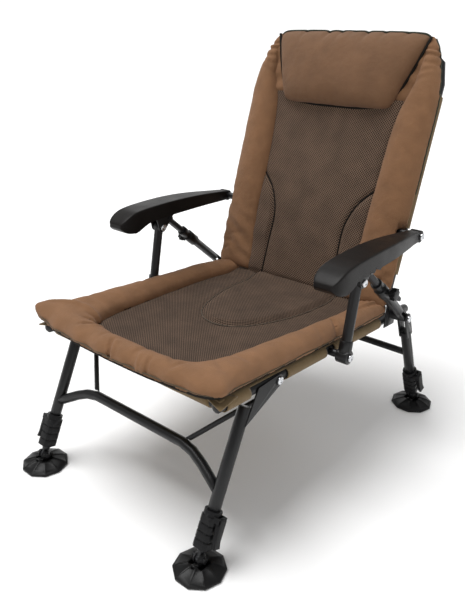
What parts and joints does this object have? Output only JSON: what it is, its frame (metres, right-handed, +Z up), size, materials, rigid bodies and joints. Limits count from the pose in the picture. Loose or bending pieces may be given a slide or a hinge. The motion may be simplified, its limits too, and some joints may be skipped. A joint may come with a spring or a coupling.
{
  "type": "carp fishing chair",
  "caption": "Folding reclining fishing chair: padded seat and backrest, parallelogram armrests, recline struts and extending legs on swivelling mud feet.",
  "frame": {"origin": "floor level, at the centre of the bounding box in plan", "axes": "+X to the sitter's left, -Y the way the sitter faces, +Z up"},
  "size_m": [0.678, 0.9102, 0.9214],
  "materials": {
    "black_steel": "satin powder coat on steel tube",
    "charcoal_steel": "satin charcoal powder coat",
    "black_plastic": "moulded black nylon",
    "foot_plastic": "moulded black nylon, ribbed",
    "arm_plastic": "satin charcoal moulded plastic",
    "peach_skin": "brown peach-skin cloth with a dark mesh panel",
    "pillow_cloth": "brown peach-skin cloth with green piping",
    "back_cloth": "brown peach-skin sides and dark spacer mesh",
    "olive_cloth": "coated olive cloth"
  },
  "bodies": {
    "seat_frame": {"seat_rail_left": "black_steel", "seat_rail_right": "black_steel", "seat_front_bar": "black_steel", "seat_rear_bar": "black_steel", "post_mount_left": "black_steel", "post_mount_right": "black_steel", "rear_bracket_left": "black_steel", "rear_bracket_right": "black_steel", "seat_sling": "olive_cloth", "seat_cushion": "peach_skin"},
    "backrest": {"back_tube_left": "black_steel", "back_tube_right": "black_steel", "back_top_bar": "black_steel", "back_cover": "olive_cloth", "back_cushion": "back_cloth", "head_pillow": "pillow_cloth"},
    "front_leg_frame": {"front_leg_left": "black_steel", "front_leg_right": "black_steel", "front_crossbar": "black_steel", "front_brace_left": "black_steel", "front_brace_right": "black_steel", "leg_lock_front_left": "black_plastic", "leg_lock_front_right": "black_plastic"},
    "rear_leg_frame": {"rear_leg_left": "charcoal_steel", "rear_leg_right": "charcoal_steel", "rear_crossbar": "black_steel", "leg_lock_rear_left": "black_plastic", "leg_lock_rear_right": "black_plastic"},
    "arm_post_left": {"arm_post_left": "charcoal_steel"},
    "armrest_left": {"armrest_left": "arm_plastic", "armrest_bracket_left": "black_steel"},
    "strut_tube_left": {"strut_tube_left": "charcoal_steel"},
    "strut_rod_left": {"strut_rod_left": "black_steel"},
    "strut_knob_left": {"strut_knob_left": "black_plastic"},
    "arm_post_right": {"arm_post_right": "charcoal_steel"},
    "armrest_right": {"armrest_right": "arm_plastic", "armrest_bracket_right": "black_steel"},
    "strut_tube_right": {"strut_tube_right": "charcoal_steel"},
    "strut_rod_right": {"strut_rod_right": "black_steel"},
    "strut_knob_right": {"strut_knob_right": "black_plastic"},
    "leg_stem_front_left": {"leg_stem_front_left": "black_steel"},
    "knuckle_front_left": {"knuckle_front_left": "black_plastic"},
    "mud_foot_front_left": {"mud_foot_front_left": "foot_plastic"},
    "lock_lever_front_left": {"lock_lever_front_left": "black_plastic"},
    "leg_stem_front_right": {"leg_stem_front_right": "black_steel"},
    "knuckle_front_right": {"knuckle_front_right": "black_plastic"},
    "mud_foot_front_right": {"mud_foot_front_right": "foot_plastic"},
    "lock_lever_front_right": {"lock_lever_front_right": "black_plastic"},
    "leg_stem_rear_left": {"leg_stem_rear_left": "black_steel"},
    "knuckle_rear_left": {"knuckle_rear_left": "black_plastic"},
    "mud_foot_rear_left": {"mud_foot_rear_left": "foot_plastic"},
    "lock_lever_rear_left": {"lock_lever_rear_left": "black_plastic"},
    "leg_stem_rear_right": {"leg_stem_rear_right": "black_steel"},
    "knuckle_rear_right": {"knuckle_rear_right": "black_plastic"},
    "mud_foot_rear_right": {"mud_foot_rear_right": "foot_plastic"},
    "lock_lever_rear_right": {"lock_lever_rear_right": "black_plastic"}
  },
  "joints": [
    {"name": "back_fold", "type": "hinge", "parent": "seat_frame", "child": "backrest", "pos_m": [0, 0.25228, 0.33368], "axis": [1, 0, 0], "range_deg": [-10, 76]},
    {"name": "front_leg_fold", "type": "hinge", "parent": "seat_frame", "child": "front_leg_frame", "pos_m": [0, -0.19019, 0.31675], "axis": [1, 0, 0], "range_deg": [0, 100]},
    {"name": "rear_leg_fold", "type": "hinge", "parent": "seat_frame", "child": "rear_leg_frame", "pos_m": [0, 0.27003, 0.29175], "axis": [1, 0, 0], "range_deg": [-85, 0]},
    {"name": "post_swing_left", "type": "hinge", "parent": "seat_frame", "child": "arm_post_left", "pos_m": [0.287, -0.00325, 0.30105], "axis": [1, 0, 0], "range_deg": [-10.5, 76.5]},
    {"name": "armrest_swing_left", "type": "hinge", "parent": "arm_post_left", "child": "armrest_left", "pos_m": [0.287, 0.0278, 0.45933], "axis": [1, 0, 0], "range_deg": [-76.5, 10.5]},
    {"name": "strut_swing_left", "type": "hinge", "parent": "seat_frame", "child": "strut_tube_left", "pos_m": [0.287, 0.27003, 0.29175], "axis": [1, 0, 0], "range_deg": [-4, 28]},
    {"name": "strut_extend_left", "type": "slide", "parent": "strut_tube_left", "child": "strut_rod_left", "axis": [0, -0.7593, 0.6507], "range_m": [-0.016, 0.117]},
    {"name": "strut_knob_turn_left", "type": "hinge", "parent": "strut_tube_left", "child": "strut_knob_left", "pos_m": [0.31, 0.14246, 0.40107], "axis": [1, 0, 0], "range_deg": [-120, 120]},
    {"name": "post_swing_right", "type": "hinge", "parent": "seat_frame", "child": "arm_post_right", "pos_m": [-0.287, -0.00325, 0.30105], "axis": [1, 0, 0], "range_deg": [-10.5, 76.5]},
    {"name": "armrest_swing_right", "type": "hinge", "parent": "arm_post_right", "child": "armrest_right", "pos_m": [-0.287, 0.0278, 0.45933], "axis": [1, 0, 0], "range_deg": [-76.5, 10.5]},
    {"name": "strut_swing_right", "type": "hinge", "parent": "seat_frame", "child": "strut_tube_right", "pos_m": [-0.287, 0.27003, 0.29175], "axis": [1, 0, 0], "range_deg": [-4, 28]},
    {"name": "strut_extend_right", "type": "slide", "parent": "strut_tube_right", "child": "strut_rod_right", "axis": [0, -0.7593, 0.6507], "range_m": [-0.016, 0.117]},
    {"name": "strut_knob_turn_right", "type": "hinge", "parent": "strut_tube_right", "child": "strut_knob_right", "pos_m": [-0.31, 0.14246, 0.40107], "axis": [1, 0, 0], "range_deg": [-120, 120]},
    {"name": "leg_extend_front_left", "type": "slide", "parent": "front_leg_frame", "child": "leg_stem_front_left", "axis": [0, 0.4384, 0.8988], "range_m": [-0.1, 0]},
    {"name": "foot_pitch_front_left", "type": "hinge", "parent": "leg_stem_front_left", "child": "knuckle_front_left", "pos_m": [0.243, -0.40567, 0.028], "axis": [1, 0, 0], "range_deg": [-20, 20]},
    {"name": "foot_roll_front_left", "type": "hinge", "parent": "knuckle_front_left", "child": "mud_foot_front_left", "pos_m": [0.243, -0.40567, 0.0128], "axis": [0, 1, 0], "range_deg": [-12, 12]},
    {"name": "lock_lever_open_front_left", "type": "hinge", "parent": "front_leg_frame", "child": "lock_lever_front_left", "pos_m": [0.2663, -0.36884, 0.1035], "axis": [0, -0.8988, 0.4384], "range_deg": [0, 95]},
    {"name": "leg_extend_front_right", "type": "slide", "parent": "front_leg_frame", "child": "leg_stem_front_right", "axis": [0, 0.4384, 0.8988], "range_m": [-0.1, 0]},
    {"name": "foot_pitch_front_right", "type": "hinge", "parent": "leg_stem_front_right", "child": "knuckle_front_right", "pos_m": [-0.243, -0.40567, 0.028], "axis": [1, 0, 0], "range_deg": [-20, 20]},
    {"name": "foot_roll_front_right", "type": "hinge", "parent": "knuckle_front_right", "child": "mud_foot_front_right", "pos_m": [-0.243, -0.40567, 0.0128], "axis": [0, 1, 0], "range_deg": [-12, 12]},
    {"name": "lock_lever_open_front_right", "type": "hinge", "parent": "front_leg_frame", "child": "lock_lever_front_right", "pos_m": [-0.2663, -0.36884, 0.1035], "axis": [0, 0.8988, -0.4384], "range_deg": [0, 95]},
    {"name": "leg_extend_rear_left", "type": "slide", "parent": "rear_leg_frame", "child": "leg_stem_rear_left", "axis": [0, 0.3827, -0.9239], "range_m": [0, 0.1]},
    {"name": "foot_pitch_rear_left", "type": "hinge", "parent": "leg_stem_rear_left", "child": "knuckle_rear_left", "pos_m": [0.287, 0.37928, 0.028], "axis": [1, 0, 0], "range_deg": [-20, 20]},
    {"name": "foot_roll_rear_left", "type": "hinge", "parent": "knuckle_rear_left", "child": "mud_foot_rear_left", "pos_m": [0.287, 0.37928, 0.0128], "axis": [0, 1, 0], "range_deg": [-12, 12]},
    {"name": "lock_lever_open_rear_left", "type": "hinge", "parent": "rear_leg_frame", "child": "lock_lever_rear_left", "pos_m": [0.3103, 0.34714, 0.10561], "axis": [0, -0.9239, -0.3827], "range_deg": [0, 95]},
    {"name": "leg_extend_rear_right", "type": "slide", "parent": "rear_leg_frame", "child": "leg_stem_rear_right", "axis": [0, 0.3827, -0.9239], "range_m": [0, 0.1]},
    {"name": "foot_pitch_rear_right", "type": "hinge", "parent": "leg_stem_rear_right", "child": "knuckle_rear_right", "pos_m": [-0.287, 0.37928, 0.028], "axis": [1, 0, 0], "range_deg": [-20, 20]},
    {"name": "foot_roll_rear_right", "type": "hinge", "parent": "knuckle_rear_right", "child": "mud_foot_rear_right", "pos_m": [-0.287, 0.37928, 0.0128], "axis": [0, 1, 0], "range_deg": [-12, 12]},
    {"name": "lock_lever_open_rear_right", "type": "hinge", "parent": "rear_leg_frame", "child": "lock_lever_rear_right", "pos_m": [-0.3103, 0.34714, 0.10561], "axis": [0, 0.9239, 0.3827], "range_deg": [0, 95]}
  ],
  "couplings": [
    {"joint": "post_swing_left", "follows": "back_fold", "ratio": 1},
    {"joint": "armrest_swing_left", "follows": "back_fold", "ratio": -1},
    {"joint": "strut_swing_left", "follows": "back_fold", "ratio": 0.357},
    {"joint": "strut_extend_left", "follows": "back_fold", "m_per_rad": 0.0875},
    {"joint": "post_swing_right", "follows": "back_fold", "ratio": 1},
    {"joint": "armrest_swing_right", "follows": "back_fold", "ratio": -1},
    {"joint": "strut_swing_right", "follows": "back_fold", "ratio": 0.357},
    {"joint": "strut_extend_right", "follows": "back_fold", "m_per_rad": 0.0875}
  ]
}
